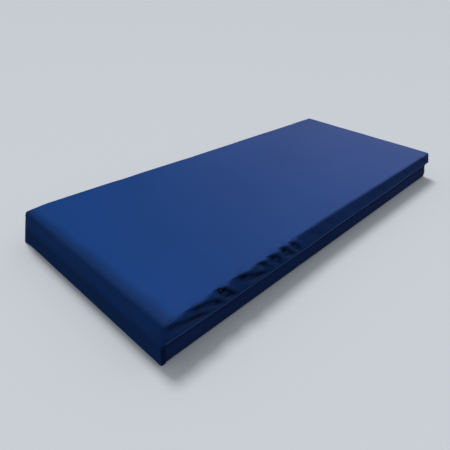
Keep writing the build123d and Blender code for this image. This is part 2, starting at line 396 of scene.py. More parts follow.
def foam(dark, light):
    """Open-cell polyurethane foam: pores of half a millimetre or so, and a cut face."""

    def build(tree):
        place = place_node(tree)
        pores = add_node(tree, "TexVoronoi", {"Vector": place, "Scale": 620.0}).outputs["Distance"]
        clouds = noise_node(tree, place, 9.0, 5.0)
        tone = math_node(tree, "ADD", *(math_node(tree, "MULTIPLY", of, 0.6) for of in (pores, clouds)))
        cut = noise_node(tree, place, 130.0, 4.0)
        return {
            "Base Color": ramp_node(tree, tone, dark, light, 0.25, 0.75),
            "Roughness": 0.95,
            "Normal": bump_node(tree, cut, 0.3, 0.0012, bump_node(tree, pores, 0.5, 0.0007)),
            "Subsurface Weight": 0.08,
            "Subsurface Radius": (0.006, 0.005, 0.004),
        }

    return build


def zip_metal(tree):
    """Worn nickel plate with fine scratches."""
    scratches = noise_node(tree, place_node(tree), 900.0, 4.0)
    return {
        "Base Color": ramp_node(tree, scratches, (0.50, 0.50, 0.52), (0.72, 0.72, 0.74)),
        "Metallic": 1.0,
        "Roughness": range_node(tree, scratches, 0.22, 0.42),
        "Normal": bump_node(tree, scratches, 0.08, 0.0001),
    }


def nylon(tree):
    """Dark, half-glossy monofilament."""
    tone = noise_node(tree, place_node(tree), 60.0)
    return {
        "Base Color": ramp_node(tree, tone, (0.012, 0.022, 0.07), (0.02, 0.035, 0.10)),
        "Roughness": range_node(tree, tone, 0.28, 0.4),
    }


def matt_floor(tree):
    return {"Base Color": (*FLOOR_COLOUR, 1), "Roughness": 0.9, "Specular IOR Level": 0.1}


TOP_FABRIC = material("top_fabric", coated_fabric((0.0038, 0.041, 0.178), (0.0052, 0.0465, 0.202), 0.44))
# Painted shade: the border's fabric is the top fabric's navy made darker, for the shade the border sits
# in below the flap
BASE_FABRIC = material(
    "base_fabric", coated_fabric((0.0065, 0.026, 0.115), (0.008, 0.031, 0.135), 0.40, 500.0)
)
# Partly the hem's lighter, glossier welded edge, partly painted highlight: lighter still, to show as a
# light line along the flap's edge
HEM_EDGE = material("hem_edge", coated_fabric((0.038, 0.078, 0.19), (0.050, 0.095, 0.22), 0.38))
TOP_LINING = material("top_lining", plain_knit((0.28, 0.34, 0.46), (0.34, 0.40, 0.52)))
BASE_LINING = material("base_lining", plain_knit((0.16, 0.18, 0.24), (0.22, 0.24, 0.30)))
ZIP_TAPE = material("zip_tape", plain_knit((0.010, 0.020, 0.07), (0.018, 0.032, 0.10), 0.8))
THREAD = material("thread", plain_knit((0.02, 0.04, 0.14), (0.04, 0.07, 0.20), 0.6))
ZIP_COIL = material("zip_coil", nylon)
ZIP_METAL = material("zip_metal", zip_metal)
BASE_FOAM = material("base_foam", foam((0.36, 0.47, 0.60), (0.50, 0.62, 0.74)))
RAIL_FOAM = material("rail_foam", foam((0.66, 0.44, 0.48), (0.80, 0.58, 0.62)))
TORSO_FOAM = material("torso_foam", foam((0.74, 0.66, 0.46), (0.88, 0.82, 0.64)))
HEEL_FOAM = material("heel_foam", foam((0.50, 0.66, 0.50), (0.64, 0.80, 0.64)))
LABEL = material("label", plain_knit((0.78, 0.78, 0.76), (0.88, 0.88, 0.86), 0.7))


# ---------------------------------------------------------------- shape of the outer fabric

# Folds of the slack fabric on the front long side: height of the roll, its half width, and the line
# of its underside as distances from the head end and below the top
FRONT_FOLDS = (
    (0.0095, 0.0100, ((0.018, 0.015), (0.050, 0.025), (0.100, 0.037), (0.140, 0.047), (0.190, 0.063))),
    (0.0085, 0.0100, ((0.110, 0.007), (0.140, 0.018), (0.180, 0.027), (0.215, 0.038), (0.250, 0.060))),
    (0.0120, 0.0095, ((0.225, 0.002), (0.250, 0.016), (0.275, 0.036), (0.300, 0.056), (0.312, 0.064))),
    (0.0090, 0.0110, ((0.315, 0.003), (0.350, 0.015), (0.395, 0.035), (0.435, 0.046), (0.475, 0.058))),
    (0.0065, 0.0090, ((0.425, 0.002), (0.450, 0.014), (0.475, 0.034))),
    (0.0080, 0.0100, ((0.485, 0.003), (0.508, 0.014), (0.532, 0.028), (0.552, 0.058))),
    (0.0090, 0.0100, ((0.560, 0.002), (0.580, 0.016), (0.604, 0.038), (0.638, 0.060))),
    (0.0075, 0.0090, ((0.618, 0.008), (0.642, 0.024), (0.662, 0.042), (0.682, 0.058))),
    (0.0014, 0.0130, ((0.730, 0.003), (0.775, 0.022), (0.835, 0.050))),
    (0.0012, 0.0120, ((0.860, 0.004), (0.900, 0.024), (0.945, 0.046))),
    (0.0010, 0.0140, ((1.050, 0.004), (1.110, 0.024), (1.180, 0.050))),
    (0.0010, 0.0140, ((1.320, 0.004), (1.370, 0.026), (1.430, 0.050))),
    (0.0010, 0.0140, ((1.620, 0.004), (1.670, 0.026), (1.730, 0.050))),
    (0.0014, 0.0100, ((1.860, 0.004), (1.900, 0.020), (1.955, 0.040))),
)


DEEP_FOLD = 0.0085  # a fold this high or higher has the darkest painted shade in its valley
EDGE_WIDE = 0.016  # half width of the waves along a top edge


def flap_edge(x, y):
    """Height of the flap's free edge at a place on the outline: it rises in two steps along the
    front, dips and lifts a little at its ends, and sways."""
    head = x + HALF_X
    front_rise = 0.0060 * (smooth(0.70, 1.0, head) + smooth(1.45, 1.8, head))
    rise = np.where(y < 0, front_rise, 0.0060) + 0.004 * np.exp(-(HALF_X - x) / 0.05)
    lift = np.where(y < 0, 0.003 * hump(head, 0.04, 0.05), 0.0)
    sway = 0.0005 * value_noise(x * 9, y * 9, 5) + 0.0003 * value_noise(x * 31, y * 31, 6)
    return FLAP_LOW + 0.0004 + rise + lift + sway


def fold_relief(along, down):
    """Relief and painted shade of the front side's folds. down is the distance below the top edge,
    negative on top. Each fold is a roll on one side of its line and a valley on the other."""
    total, painted_shade = np.zeros_like(along), np.zeros_like(along)
    for height, width, line in FRONT_FOLDS:
        line = np.array(line)
        # the nearest place on the line: how far, on which side, and what share of the line is behind
        steps = np.linalg.norm(np.diff(line, axis=0), axis=1)
        before = np.concatenate([[0], np.cumsum(steps)])
        nearest, offset, run = np.full_like(along, 9.0), np.zeros_like(along), np.zeros_like(along)
        for k, step in enumerate(steps):
            start, way = line[k], (line[k + 1] - line[k]) / step
            share = np.clip((along - start[0]) * way[0] + (down - start[1]) * way[1], 0, step)
            gap_x = along - start[0] - way[0] * share
            gap_z = down - start[1] - way[1] * share
            far = np.hypot(gap_x, gap_z)
            side = np.sign(way[0] * (down - start[1]) - way[1] * (along - start[0]))
            closer = far < nearest
            nearest = np.where(closer, far, nearest)
            offset = np.where(closer, side * far, offset)
            run = np.where(closer, (before[k] + share) / before[-1], run)
        q = offset / width
        fade = (0.25 + 0.75 * smooth(0.0, 0.28, run)) * (1 - 0.6 * smooth(0.7, 1.0, run))
        roll = -height * fade * q * np.exp(0.5 * (1 - q * q)) * np.where(q < 0, 0.55, 1.15)
        on_top = 1 - 0.85 * smooth(0.004, -0.012, down)
        dip = hump(along, line[0][0] + 0.010, 0.020) * hump(down, 0, 0.012)
        total += roll * on_top - 0.55 * height * dip
        # painted shade down in each fold's valley
        deep = min(height / DEEP_FOLD, 1.0) * (1 - 0.5 * smooth(0.28, 0.45, line[0][0]))
        painted_shade = np.maximum(painted_shade, deep * fade * on_top * hump(q, 0.40, 1.25))
    return total, painted_shade


def relief(x, y, z, on_top):
    """How far the fabric stands off its plain shape along the normal, at a place on the box, and how
    much of its colour it loses there to painted shade."""
    ends = smooth(0.0, 0.05, HALF_X - np.abs(x))
    sides = smooth(0.0, 0.05, HALF_Y - np.abs(y))
    front_down = np.where(on_top, -(y + HALF_Y), TOP - z)
    head_down = np.where(on_top, -(x + HALF_X), TOP - z)
    foot_down = np.where(on_top, -(HALF_X - x), TOP - z)
    back_down = np.where(on_top, -(HALF_Y - y), TOP - z)
    is_front = on_top | (y <= -HALF_Y)
    is_head = on_top | (x <= -HALF_X)
    is_foot = on_top | (x >= HALF_X)
    is_back = on_top | (y >= HALF_Y)
    along = x + HALF_X
    total = np.zeros_like(x)

    pinned = smooth(0.0, 0.030, HALF_X - np.abs(x))
    hem_clear = smooth(0.004, 0.018, z - flap_edge(x, y))
    folded = is_front * pinned * np.where(on_top, 1.0, hem_clear)
    folds, painted_shade = fold_relief(along, front_down)
    total += folds * folded

    # slow waves along each top edge
    wave = value_noise(along * 9.0, 0 * along + 3.3, 21) + 0.6 * value_noise(along * 19.0, 0 * along, 22)
    total += np.where(is_front, 0.0011 * hump(front_down, 0.002, EDGE_WIDE) * wave * pinned, 0.0)
    wave = value_noise(y * 11.0, 0 * y + 1.7, 23) + 0.7 * value_noise(y * 27.0, 0 * y, 24)
    total += np.where(is_head, 0.0010 * hump(head_down, 0.002, 0.018) * wave * sides, 0.0)
    for down, here, seed, window in ((foot_down, is_foot, 25, sides), (back_down, is_back, 26, ends)):
        wave = value_noise((x + y) * 10.0, (x - y) * 2.0, seed)
        total += np.where(here, 0.0011 * hump(down, 0.002, EDGE_WIDE) * wave * window, 0.0)

    # the foam crowns the top a little, and the walls bulge between the edge and the zip
    crown = 0.0022 * smooth(0, 0.16, HALF_X - np.abs(x)) * smooth(0, 0.16, HALF_Y - np.abs(y))
    swell = 0.0009 * value_noise(x * 3.1, y * 3.7, 27) + 0.0003 * value_noise(x * 8.3, y * 9.1, 28)
    total += np.where(on_top, crown + swell * ends * sides, 0.0)
    bulge = hump(TOP - z, 0.055, 0.035)
    total += np.where(~on_top & (x <= -HALF_X), 0.002 * bulge * sides, 0.0)
    slow = value_noise(x * 4.0 + y * 4.0, z * 12.0, 29)
    total += np.where(~on_top, 0.0008 * slow * ends * np.where(is_head, sides, hem_clear), 0.0)

    # the painted shades: over the head edge, on the front wall, and below the flap's edge at the head
    # corners
    wide = 0.060 * (1 + 0.22 * value_noise(y * 9.0, 0 * y + 4.1, 30))
    painted_head_shade = np.where(on_top, 1 - smooth(0.0, wide, along), 1 - smooth(0.0, 0.014, TOP - z))
    painted_head_shade = HEAD_EDGE_SHADE * painted_head_shade * is_head
    painted_front_shade = FRONT_SHADE * (1 - smooth(0.60, 1.15, along)) * (~on_top & (y <= -HALF_Y))
    painted_wrap_shade = WRAP_SHADE * ((np.abs(y) >= HALF_Y) & (x < FRONT_FLAP_START + 1e-4) & (z < flap_edge(x, y)))
    return total, 1 - (1 - CREASE_SHADE * painted_shade * folded) * (1 - painted_head_shade) * (1 - painted_wrap_shade) * (1 - painted_front_shade)


def wall_insets(x, z):
    """How far the walls stand in from the outer face at a height: head, foot, front and back."""
    along = x + HALF_X
    share = np.clip((z - LEAN_FROM) / (TOP - LEAN_FROM), 0, 1)
    late = share**1.6
    front = np.interp(along, FRONT_PLACES, FRONT_LEANS)
    back = BACK_LEAN[0] + (BACK_LEAN[1] - BACK_LEAN[0]) * smooth(0.1, 1.2, along)
    return HEAD_LEAN * share, FOOT_LEAN * late, front * share**1.1, back * late


def corner_pull(x, y, z):
    """How far the head corner at the back is drawn in along x and y, more and more towards the top.
    At the floor it stands out a little instead."""
    up = z / TOP
    head, _, _, back = wall_insets(x, z)
    beside = smooth(0.060, 0.0, HALF_Y - y) * smooth(0.060, 0.0, x + HALF_X)
    reach = 0.022 + 0.090 * smooth(0.70 * TOP, TOP, z)
    tight = smooth(reach, 0.0, x + HALF_X) * smooth(0.080, 0.0, HALF_Y - y)
    pull_x = (CORNER_IN[0] * up - 0.005 * (1 - up) - head) * beside
    pull_y = (CORNER_IN[1] * up - 0.006 * (1 - up) - back) * tight
    return pull_x, pull_y


def lean(x, y, z):
    """Leans upright walls in, and lets the top fall away towards the head edge."""
    head, foot, front, back = wall_insets(x, z)
    toward_foot = (x + HALF_X) / (2 * HALF_X)
    toward_back = (y + HALF_Y) / (2 * HALF_Y)
    short = np.clip(1 - (x + HALF_X) / DROOP_LONG, 0, 1) ** 2
    high = smooth(TOP - 0.060, TOP - 0.010, z)
    pull_x, pull_y = corner_pull(x, y, z)
    new_x = x + head * (1 - toward_foot) - foot * toward_foot + pull_x
    new_y = y + front * (1 - toward_back) - back * toward_back - pull_y
    return new_x, new_y, z - DROOP * short * high


def outer_surface(x, y, z, on_top):
    """Maps places on the plain box to the fabric's outer surface."""
    core_x = np.clip(x, -(HALF_X - CORNER_R), HALF_X - CORNER_R)
    core_y = np.clip(y, -(HALF_Y - CORNER_R), HALF_Y - CORNER_R)
    core_z = np.minimum(z, TOP - EDGE_R)
    d = np.stack([(x - core_x) / CORNER_R, (y - core_y) / CORNER_R, (z - core_z) / EDGE_R], axis=1)
    n = d / np.maximum(np.linalg.norm(d, axis=1), 1e-9)[:, None]
    px = core_x + n[:, 0] * CORNER_R
    py = core_y + n[:, 1] * CORNER_R
    pz = core_z + n[:, 2] * EDGE_R
    points = np.stack(lean(px, py, pz), axis=1)
    height, painted_shade = relief(x, y, z, on_top)
    return points + n * height[:, None], painted_shade


# ---------------------------------------------------------------- the cover as one quad mesh


def x_gap(x):
    """Spacing of the mesh along the mattress: finest at the ends, and finer towards the head."""
    middle = 0.0045 + 0.006 * smooth(-0.32, 0.1, x)
    edge = smooth(0.0, 0.03, HALF_X - np.abs(x))
    return 0.0028 + (middle - 0.0028) * edge


def y_gap(y):
    """Spacing of the mesh across the mattress: finest at the two long edges."""
    near = smooth(0.0, 0.03, y + HALF_Y)
    inner = smooth(0.03, 0.20, y + HALF_Y)
    back = smooth(0.0, 0.04, HALF_Y - y)
    return (0.0028 + 0.0025 * near + 0.008 * inner) * (0.35 + 0.65 * back)


XS = with_stops(
    stations(-HALF_X, HALF_X, x_gap),
    (FRONT_FLAP_START, BACK_FLAP_START, FOLD_FAR, STRIP_END, FAR_END),
)
YS = with_stops(stations(-HALF_Y, HALF_Y, y_gap), (-END_FLAP_Y, END_FLAP_Y))
NX, NY = len(XS), len(YS)
WALL_FALL = (0.0013, 0.0028, 0.0046, 0.0068, 0.0092, 0.0118, 0.0144, 0.017, 0.0196, 0.0222)
WALL_Z = np.append(TOP - np.array(WALL_FALL), SPLIT)
HEAD_Z = np.linspace(SPLIT, 0.0012, 24)[1:]
FLAP_STEPS = np.append(np.linspace(0, 0.9, 17)[1:], (0.93, 0.95, 0.965, 0.98, 1.0))
HEM_ROWS = 4


RING, RING_X, RING_Y = grid_ring(XS, YS)  # from the front head corner along the front
SEGMENTS = len(RING)


def segments_where(test):
    """Segments of the ring whose two ends both pass."""
    good = test(RING_X, RING_Y)
    return np.flatnonzero(good & np.roll(good, -1))


EPS = 1e-5  # slack in comparing places


def on_front(x, y):
    return y <= -HALF_Y + EPS


def on_back(x, y):
    return y >= HALF_Y - EPS


def at_foot(x, y):
    return x >= HALF_X - EPS


def stretch(side, low=-HALF_X, high=HALF_X):
    """Segments on one side of the outline, between two places along the mattress."""
    return segments_where(lambda x, y: side(x, y) & (x >= low - EPS) & (x <= high + EPS))


HEAD_PART = segments_where(lambda x, y: x <= FRONT_FLAP_START + EPS)
FLAP_SEGMENTS = {
    "flap_front_near": stretch(on_front, FRONT_FLAP_START, FOLD_FAR),
    "flap_front_far": stretch(on_front, STRIP_END, FAR_END),
    "flap_end": segments_where(lambda x, y: at_foot(x, y) & (np.abs(y) <= END_FLAP_Y + EPS)),
    "flap_back_far": stretch(on_back, STRIP_END, FAR_END),
    "flap_back_near": stretch(on_back, BACK_FLAP_START, FOLD_FAR),
}
EVERY_FLAP = np.concatenate(
    [stretch(on_front, FRONT_FLAP_START), segments_where(at_foot), stretch(on_back, BACK_FLAP_START)]
)
FIXED_FLAP = np.setdiff1d(EVERY_FLAP, np.concatenate(list(FLAP_SEGMENTS.values())))


def whole_cover():
    """Points, normals, painted shade and faces of the top fabric before it is cut into pieces, and the
    rows of points down the flap."""
    grid_x, grid_y = grid_points(XS, YS)
    box_x, box_y, box_z = [grid_x], [grid_y], [np.full(NX * NY, TOP)]
    top_flag = [np.ones(NX * NY, bool)]
    rows = [RING]
    count = NX * NY

    def add_row(z):
        nonlocal count
        box_x.append(RING_X)
        box_y.append(RING_Y)
        box_z.append(np.broadcast_to(z, SEGMENTS))
        top_flag.append(np.zeros(SEGMENTS, bool))
        row = np.arange(count, count + SEGMENTS)
        count += SEGMENTS
        return row

    for z in WALL_Z:
        rows.append(add_row(z))
    head_rows = [rows[-1]] + [add_row(z) for z in HEAD_Z]
    edge = flap_edge(RING_X, RING_Y)
    flap_rows = [rows[-1]] + [add_row(SPLIT + (edge - SPLIT) * t) for t in FLAP_STEPS]
    x, y, z = np.concatenate(box_x), np.concatenate(box_y), np.concatenate(box_z)
    points, painted_shade = outer_surface(x, y, z, np.concatenate(top_flag))
    flare_flap(points, flap_rows, edge)
    tuck_head(points, head_rows)
    parts = {
        "top": grid_faces(NX, NY),
        "wall": strip_faces(rows),
        "head": strip_faces(head_rows, HEAD_PART),
        "fixed_flap": strip_faces(flap_rows, FIXED_FLAP),
    }
    for name, ids in FLAP_SEGMENTS.items():
        parts[name] = strip_faces(flap_rows, ids)
    normals = vertex_normals(points, np.concatenate(list(parts.values())))
    return points, normals, painted_shade, parts, flap_rows


def outward(x, y):
    """Level direction away from the mattress at a place on its outline."""
    front_back = np.stack([0 * x, np.sign(y)], axis=1)
    foot_head = np.stack([np.sign(x), 0 * y], axis=1)
    at_end = (HALF_X - np.abs(x)) < (HALF_Y - np.abs(y))
    return np.where(at_end[:, None], foot_head, front_back)


def flare_flap(points, flap_rows, edge):
    """The flap's hem stands off the border a little, in slow waves."""
    away = outward(RING_X, RING_Y)
    lift = 0.0014 + 0.0006 * value_noise(RING_X * 7 + 3, RING_Y * 7, 41)
    for row in flap_rows[1:]:
        above = points[row, 2] - edge
        share = smooth(0.030, 0.0, above)
        bead = np.sqrt(np.maximum(1 - ((above - HEM_R) / HEM_R) ** 2, 0))
        points[row, :2] += away * (lift * share + HEM_R * bead)[:, None]


def tuck_head(points, head_rows):
    """The head wall turns under at the floor."""
    radius = 0.003
    for row in head_rows[1:]:
        z = points[row, 2]
        short = np.clip(radius - z, 0, radius)
        inset = radius - np.sqrt(np.maximum(radius**2 - short**2, 0))
        points[row, :2] -= outward(RING_X, RING_Y) * inset[:, None]


POINTS, NORMALS, PAINTED_SHADE, PARTS, FLAP_RING_ROWS = whole_cover()


def fold_with_cover(piece):
    """Bakes the piece's placement into its points."""
    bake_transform(piece)


def make_cover():
    """The top panel, the upper walls, the head wall, and the short tabs of flap that stay down."""
    faces = np.concatenate([PARTS[k] for k in ("top", "wall", "head", "fixed_flap")])
    cover = cloth_object(
        "top_cover", POINTS, NORMALS, faces, CLOTH, TOP_FABRIC, TOP_LINING, HEM_EDGE, painted_shade=PAINTED_SHADE
    )
    fold_with_cover(cover)
    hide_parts("top_cover_near", "top_cover_far")
    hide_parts("flap_front_fold", "flap_back_fold", "flap_front_corner", "flap_back_corner")


def make_flaps():
    """The five stretches of storm flap that lift."""
    for name, ids in FLAP_SEGMENTS.items():
        fabrics = (TOP_FABRIC, TOP_LINING, HEM_EDGE)
        hem = HEM_ROWS * len(ids)
        flap = cloth_object(
            name + "_cloth", POINTS, NORMALS, PARTS[name], CLOTH, *fabrics, hem=hem, painted_shade=PAINTED_SHADE
        )
        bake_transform(flap)
        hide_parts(name)


make_cover()
make_flaps()


# ---------------------------------------------------------------- strips that follow the zip


def outline_path(inset, start_x, end_x):
    """Points round the three zipped sides at an inset, from the front head end to the back one."""
    radius = max(OUTLINE_R - inset, 0.003)
    x_far, y_out = HALF_X - inset, HALF_Y - inset
    front_x = np.linspace(start_x, x_far - radius, 240)
    front = np.stack([front_x, np.full_like(front_x, -y_out)], axis=1)
    turn = np.linspace(-math.pi / 2, 0, 9)[1:-1]
    corner = np.stack(
        [x_far - radius + radius * np.cos(turn), -y_out + radius + radius * np.sin(turn)], axis=1
    )
    across = np.linspace(-(y_out - radius), y_out - radius, 100)
    end = np.stack([np.full_like(across, x_far), across], axis=1)
    back_x = np.linspace(x_far - radius, end_x, 240)
    back = np.stack([back_x, np.full_like(back_x, y_out)], axis=1)
    return np.concatenate([front, corner, end, corner[::-1] * np.array([1, -1]), back])


def path_normals(path):
    """Level directions square to a path, away from the mattress."""
    ahead = np.gradient(path, axis=0)
    ahead /= np.maximum(np.linalg.norm(ahead, axis=1), 1e-12)[:, None]
    return np.stack([ahead[:, 1], -ahead[:, 0]], axis=1)


def profile_strip(name, profile, start_x, thickness, outside, inside):
    """A sheet swept round the zipped sides from a profile of (inset, height) points."""
    base = outline_path(ZIP_INSET, start_x, start_x)
    away = path_normals(base)
    rows = []
    for inset, height in profile:
        flat = base + away * (ZIP_INSET - np.reshape(inset, (-1, 1)))
        rows.append(np.concatenate([flat, np.full((len(flat), 1), height)], axis=1))
    verts = np.concatenate(rows)
    faces = grid_faces(len(profile), len(base))
    normals = vertex_normals(verts, faces)
    return cloth_object(name, verts, normals, faces, thickness, outside, inside)


def make_skirt():
    """The fold of fabric behind the flap that the upper zip tape is sewn to."""
    path = outline_path(ZIP_INSET, FRONT_FLAP_START, FRONT_FLAP_START)
    at_foot, at_front = HALF_X - path[:, 0] < 0.012, path[:, 1] < 0
    profile = []
    for fall in (-0.0028, 0.0, 0.004, 0.008, 0.013, 0.018):
        _, foot, front, back = wall_insets(path[:, 0], HINGE_Z - fall)
        wall = np.where(at_foot, foot, np.where(at_front, front, back))
        profile.append((np.maximum(ZIP_INSET + 0.0002, wall + 0.0014), HINGE_Z - fall))
    skirt = profile_strip("zip_skirt", profile, FRONT_FLAP_START, 0.0009, TOP_FABRIC, TOP_LINING)
    fold_with_cover(skirt)


# Down the filled-out border: inset, and distance below its top edge
BORDER = (
    (0.0092, 0.0),
    (0.0096, 0.012),
    (0.0104, 0.022),
    (0.0098, 0.029),
    (0.0076, 0.037),
    (0.0046, 0.045),
    (0.0022, 0.054),
    (0.0008, 0.063),
    (0.0004, 0.071),
    (0.0008, 0.078),
    (0.0022, 0.083),
    (0.0046, 0.0862),
    (0.0085, BORDER_TOP - 0.0004),
)


def border_curve():
    """Heights and insets of the border, for interpolation."""
    return [BORDER_TOP - fall for _, fall in reversed(BORDER)], [inset for inset, _ in reversed(BORDER)]


def make_base():
    """Border up to the zip, and the bottom panel under the whole mattress."""
    profile = [(inset, BORDER_TOP - fall) for inset, fall in BORDER]
    side = profile_strip("base_border", profile, FRONT_FLAP_START, BASE_CLOTH, BASE_FABRIC, BASE_LINING)
    xs = np.linspace(-HALF_X + 0.006, HALF_X - 0.013, 60)
    ys = np.linspace(-HALF_Y + 0.013, HALF_Y - 0.013, 28)
    grid_x, grid_y = grid_points(xs, ys)
    verts = np.stack([grid_x, grid_y, np.full_like(grid_x, 0.0004)], axis=1)
    faces = grid_faces(len(xs), len(ys))[:, ::-1]
    normals = vertex_normals(verts, faces)
    panel = cloth_object("base_panel", verts, normals, faces, BASE_CLOTH, BASE_FABRIC, BASE_LINING)
    for piece in (side, panel):
        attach(piece, "mattress")
        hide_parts("base_cover")


make_skirt()
make_base()


COIL_PITCH = 0.0026
COIL_STEPS = 9  # points in each turn
COIL_WIRE_R = 0.00036
COIL_HALF_DEEP = 0.00072
COIL_HALF_TALL = 0.00112
COIL_MIDDLE = 0.0093  # inset of the coils
COIL_APART = 0.0007  # from the middle of the zip to each coil, and to each tape
BOTTOM_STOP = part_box("zip_bottom_stop")[0].x
TOP_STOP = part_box("zip_top_stops")[0].x
TAPE_INSET = HALF_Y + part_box("zip_tape_upper_front_near")[0].y
TAPE_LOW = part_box("zip_tape_lower")[0].z
TAPE_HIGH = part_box("zip_tape_upper_far")[1].z
STITCH_PITCH = 0.0042
STITCH_LONG = 0.0032
STITCH_R = 0.00032


def swept_ring(points, sides, radius, ahead):
    """A tube of a few sides along a line of points, with its ends closed."""
    upright = np.array([0.0, 0.0, 1.0])
    level = np.cross(ahead, upright)
    level /= np.maximum(np.linalg.norm(level, axis=1), 1e-9)[:, None]
    above = np.cross(level, ahead)
    turn = np.arange(sides) * 2 * math.pi / sides
    ring = level[:, None] * np.cos(turn)[None, :, None] + above[:, None] * np.sin(turn)[None, :, None]
    verts = (points[:, None] + ring * np.asarray(radius).reshape(-1, 1, 1)).reshape(-1, 3)
    count = len(points)
    a = np.arange(count - 1)[:, None] * sides
    k = np.arange(sides)[None, :]
    nxt = (k + 1) % sides
    faces = np.stack([a + k, a + nxt, a + nxt + sides, a + k + sides], axis=-1).reshape(-1, 4)
    ends = [list(range(sides))[::-1], [(count - 1) * sides + i for i in range(sides)]]
    return verts, [list(f) for f in faces] + ends


def along_path(path, distance):
    """Place, direction and outward direction at distances along a level path."""
    steps = np.linalg.norm(np.diff(path, axis=0), axis=1)
    total = np.concatenate([[0], np.cumsum(steps)])
    place = np.stack([np.interp(distance, total, path[:, k]) for k in range(2)], axis=1)
    away = path_normals(path)
    out = np.stack([np.interp(distance, total, away[:, k]) for k in range(2)], axis=1)
    return place, out / np.linalg.norm(out, axis=1)[:, None], total[-1]


def make_coil(name, middle_z, phase):
    """One side of the zip chain: a nylon wire wound in an oval and flattened onto its tape."""
    path = outline_path(COIL_MIDDLE, BOTTOM_STOP, TOP_STOP)
    _, _, total = along_path(path, np.array([0.0]))
    turns = int(total / COIL_PITCH) - 1
    t = np.arange(turns * COIL_STEPS + 1) / COIL_STEPS
    place, out, _ = along_path(path, (t + phase) * COIL_PITCH)
    angle = 2 * math.pi * t
    line = np.zeros((len(t), 3))
    line[:, :2] = place + out * (COIL_HALF_DEEP * np.cos(angle))[:, None]
    line[:, 2] = middle_z + COIL_HALF_TALL * np.sin(angle)
    ahead = np.gradient(line, axis=0)
    ahead /= np.linalg.norm(ahead, axis=1)[:, None]
    verts, faces = swept_ring(line, 5, COIL_WIRE_R, ahead)
    coil = new_object(name, verts, faces, (ZIP_COIL,))
    return coil


def make_stitches(name, height):
    """A row of lockstitches round the zipped sides."""
    path = outline_path(ZIP_INSET - 0.0002, FRONT_FLAP_START + 0.004, FRONT_FLAP_START + 0.004)
    _, _, total = along_path(path, np.array([0.0]))
    starts = np.arange(STITCH_PITCH, total - STITCH_PITCH, STITCH_PITCH)
    bead = np.array([0.0, 0.12, 0.5, 0.88, 1.0])
    size = np.array([0.35, 0.85, 1.0, 0.85, 0.35]) * STITCH_R
    sink = np.array([0.9, 0.3, 0.0, 0.3, 0.9]) * STITCH_R
    verts, faces = [], []
    place, out, _ = along_path(path, (starts[:, None] + bead[None] * STITCH_LONG).ravel())
    line = np.concatenate([place, np.full((len(place), 1), height)], axis=1)
    line[:, :2] -= out * np.tile(sink, len(starts))[:, None]
    for k in range(len(starts)):
        points = line[k * len(bead) : (k + 1) * len(bead)]
        ahead = np.repeat((points[-1] - points[0])[None], len(bead), axis=0)
        ahead /= np.linalg.norm(ahead, axis=1)[:, None]
        ring, ring_faces = swept_ring(points, 5, size, ahead)
        faces += [[i + len(verts) * len(ring) for i in face] for face in ring_faces]
        verts.append(ring)
    return new_object(name, np.concatenate(verts), faces, (THREAD,))


def make_zip():
    """Both tapes, both coils and the stitches that hold them, and a finish for the metal parts."""
    tapes = []
    for side, outer, edge in (("lower", TAPE_LOW, -1), ("upper", TAPE_HIGH, 1)):
        heights = [outer, ZIP_Z + edge * 0.006, ZIP_Z + edge * COIL_APART][::edge]
        profile = [(TAPE_INSET, height) for height in heights]
        tapes.append(
            profile_strip(f"zip_tape_{side}_woven", profile, ZIP_START, 0.0005, ZIP_TAPE, ZIP_TAPE)
        )
    lower, upper = tapes
    lower_coil = make_coil("zip_coil_lower_wound", ZIP_Z - COIL_APART, 0.0)
    upper_coil = make_coil("zip_coil_upper_wound", ZIP_Z + COIL_APART, 0.5)
    border_stitches = make_stitches("border_stitches", BORDER_TOP - 0.0038)
    skirt_stitches = make_stitches("skirt_stitches", ZIP_Z + 0.0115)
    for piece in (lower, lower_coil, border_stitches):
        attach(piece, "mattress")
    for piece in (upper, upper_coil, skirt_stitches):
        fold_with_cover(piece)
    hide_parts("zip_tape_lower")
    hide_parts(*(f"zip_tape_upper_{part}" for part in ("front_near", "back_near", "far")))
    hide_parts("zip_coil_lower")
    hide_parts(*(f"zip_coil_upper_{part}" for part in ("front_near", "back_near", "far")))
    for name in ("zip_slider", "zip_pull_tab", "zip_top_stops", "zip_bottom_stop"):
        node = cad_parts[name]
        node.data.materials.clear()
        node.data.materials.append(ZIP_METAL)
        bevel = node.modifiers.new("soft_edges", "BEVEL")
        bevel.width = 0.00018
        bevel.segments = 2
        bevel.limit_method = "ANGLE"


def make_label():
    """A blank woven care label, sewn to the border at the foot end."""
    low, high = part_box("care_label")
    heights = np.linspace(low.z, high.z, 12)
    ys = np.linspace(low.y, high.y, 22)
    grid_y, grid_z = grid_points(ys, heights)
    inset = np.interp(grid_z, *border_curve())
    curl = 0.0006 * hump(grid_y, low.y, 0.006) + 0.0003 * value_noise(grid_y * 40, grid_z * 40, 61)
    verts = np.stack([HALF_X - inset + 0.0009 + curl, grid_y, grid_z], axis=1)
    faces = grid_faces(len(ys), len(heights))
    normals = vertex_normals(verts, faces)
    label = cloth_object("care_label_woven", verts, normals, faces, 0.0004, LABEL, LABEL)
    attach(label, "mattress")
    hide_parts("care_label")


make_zip()
make_label()


# ---------------------------------------------------------------- foam core


WALL_SLOPE = 0.0004  # how far the foot of a cut stands in from its lip
CELL_R = 0.0045  # rounding along the top of each cell
FOAM_DROP = 0.0022  # the foam's top stands this much under the solid that it replaces
FOAM_HEAD_CLEAR = 0.004


def rounded(distance, radius):
    """How far a rounded edge has fallen at a distance in from a face."""
    short = np.clip(radius - distance, 0, radius)
    return radius - np.sqrt(np.maximum(radius**2 - short**2, 0))


